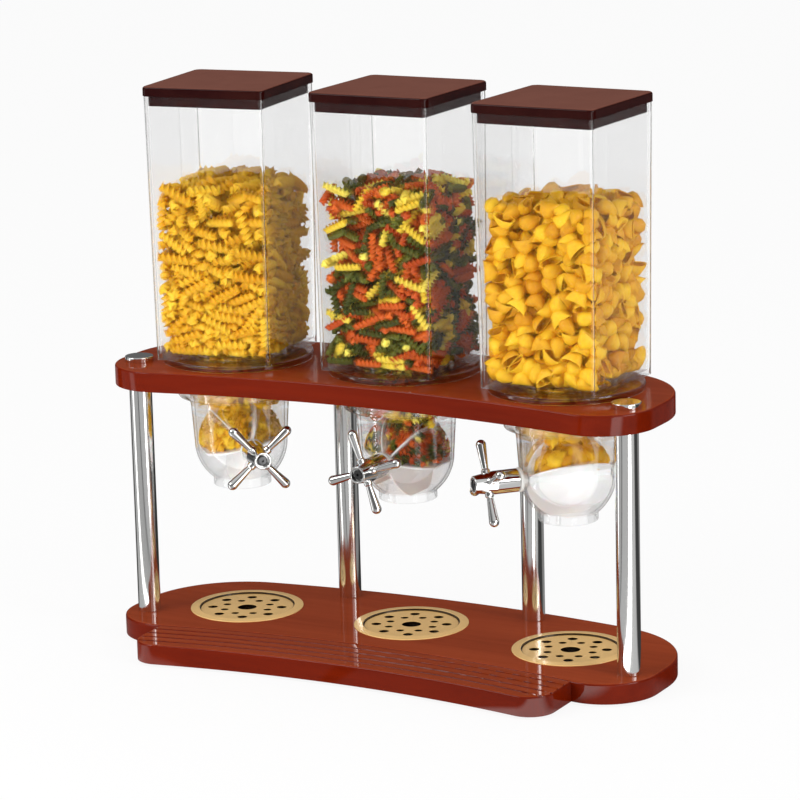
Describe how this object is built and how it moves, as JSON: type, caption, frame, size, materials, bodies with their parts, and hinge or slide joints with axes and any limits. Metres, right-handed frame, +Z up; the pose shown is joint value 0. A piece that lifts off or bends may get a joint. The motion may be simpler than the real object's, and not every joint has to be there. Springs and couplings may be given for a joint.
{
  "type": "gravity bulk food bin",
  "caption": "Gravity dispenser for dry food: clear square hoppers on a wooden two-tier stand, each with a cross knob that turns a portion wheel above a drip dish.",
  "frame": {"origin": "on the surface the feet stand on, in the middle of the stand's length and depth", "axes": "+X to the right along the row of bins, seen from the user's side; +Y away from the user; +Z up"},
  "size_m": [0.642, 0.2831, 0.616],
  "materials": {
    "lacquered_wood": "red-brown stain under gloss lacquer, fine open grain",
    "plain_wood": "bare beech dowel",
    "black_rubber": "matt moulded",
    "chrome": "polished plate",
    "steel": "turned and zinc plated or bare stainless",
    "clear_plastic": "clear polished polycarbonate",
    "dark_plastic": "dark brown moulded, glossy",
    "white_silicone": "satin food-grade silicone",
    "white_plastic": "satin moulded",
    "brass": "warm satin spun metal"
  },
  "bodies": {
    "root": {"base_board": "lacquered_wood", "front_ledge": "lacquered_wood", "ledge_dowels": "plain_wood", "upper_shelf": "lacquered_wood", "rubber_feet": "black_rubber", "post_front_left": "chrome", "post_back_left": "chrome", "post_back_right": "chrome", "post_front_right": "chrome", "post_plugs": "steel", "base_bolts": "steel", "bolt_washers": "steel", "post_caps": "chrome", "seat_ring_left": "clear_plastic", "bowl_gasket_left": "white_silicone", "bowl_left": "clear_plastic", "front_bush_left": "white_plastic", "rear_bush_left": "white_plastic", "seat_ring_middle": "clear_plastic", "bowl_gasket_middle": "white_silicone", "bowl_middle": "clear_plastic", "front_bush_middle": "white_plastic", "rear_bush_middle": "white_plastic", "seat_ring_right": "clear_plastic", "bowl_gasket_right": "white_silicone", "bowl_right": "clear_plastic", "front_bush_right": "white_plastic", "rear_bush_right": "white_plastic"},
    "hopper_left": {"hopper_left": "clear_plastic"},
    "lid_left": {"lid_left": "dark_plastic"},
    "wheel_left": {"portion_wheel_left": "white_silicone", "drive_shaft_left": "steel", "knob_left": "chrome", "knob_screw_left": "steel"},
    "dish_left": {"catch_dish_left": "brass"},
    "grid_left": {"drip_grid_left": "brass"},
    "hopper_middle": {"hopper_middle": "clear_plastic"},
    "lid_middle": {"lid_middle": "dark_plastic"},
    "wheel_middle": {"portion_wheel_middle": "white_silicone", "drive_shaft_middle": "steel", "knob_middle": "chrome", "knob_screw_middle": "steel"},
    "dish_middle": {"catch_dish_middle": "brass"},
    "grid_middle": {"drip_grid_middle": "brass"},
    "hopper_right": {"hopper_right": "clear_plastic"},
    "lid_right": {"lid_right": "dark_plastic"},
    "wheel_right": {"portion_wheel_right": "white_silicone", "drive_shaft_right": "steel", "knob_right": "chrome", "knob_screw_right": "steel"},
    "dish_right": {"catch_dish_right": "brass"},
    "grid_right": {"drip_grid_right": "brass"}
  },
  "joints": [
    {"name": "hopper_left_lift", "type": "slide", "parent": "root", "child": "hopper_left", "axis": [0, 0, 1], "range_m": [0, 0.04]},
    {"name": "lid_left_lift", "type": "slide", "parent": "hopper_left", "child": "lid_left", "axis": [0, 0, 1], "range_m": [0, 0.06]},
    {"name": "wheel_left_turn", "type": "hinge", "parent": "root", "child": "wheel_left", "pos_m": [-0.2, 0.02769, 0.2166], "axis": [0.6884, -0.7254, 0], "continuous": true},
    {"name": "dish_left_lift", "type": "slide", "parent": "root", "child": "dish_left", "axis": [0, 0, 1], "range_m": [0, 0.03]},
    {"name": "grid_left_lift", "type": "slide", "parent": "dish_left", "child": "grid_left", "axis": [0, 0, 1], "range_m": [0, 0.02]},
    {"name": "hopper_middle_lift", "type": "slide", "parent": "root", "child": "hopper_middle", "axis": [0, 0, 1], "range_m": [0, 0.04]},
    {"name": "lid_middle_lift", "type": "slide", "parent": "hopper_middle", "child": "lid_middle", "axis": [0, 0, 1], "range_m": [0, 0.06]},
    {"name": "wheel_middle_turn", "type": "hinge", "parent": "root", "child": "wheel_middle", "pos_m": [0, 0.04258, 0.2166], "axis": [-0.0262, -0.9997, 0], "continuous": true},
    {"name": "dish_middle_lift", "type": "slide", "parent": "root", "child": "dish_middle", "axis": [0, 0, 1], "range_m": [0, 0.03]},
    {"name": "grid_middle_lift", "type": "slide", "parent": "dish_middle", "child": "grid_middle", "axis": [0, 0, 1], "range_m": [0, 0.02]},
    {"name": "hopper_right_lift", "type": "slide", "parent": "root", "child": "hopper_right", "axis": [0, 0, 1], "range_m": [0, 0.04]},
    {"name": "lid_right_lift", "type": "slide", "parent": "hopper_right", "child": "lid_right", "axis": [0, 0, 1], "range_m": [0, 0.06]},
    {"name": "wheel_right_turn", "type": "hinge", "parent": "root", "child": "wheel_right", "pos_m": [0.2, 0.02769, 0.2166], "axis": [-0.6626, -0.749, 0], "continuous": true},
    {"name": "dish_right_lift", "type": "slide", "parent": "root", "child": "dish_right", "axis": [0, 0, 1], "range_m": [0, 0.03]},
    {"name": "grid_right_lift", "type": "slide", "parent": "dish_right", "child": "grid_right", "axis": [0, 0, 1], "range_m": [0, 0.02]}
  ]
}
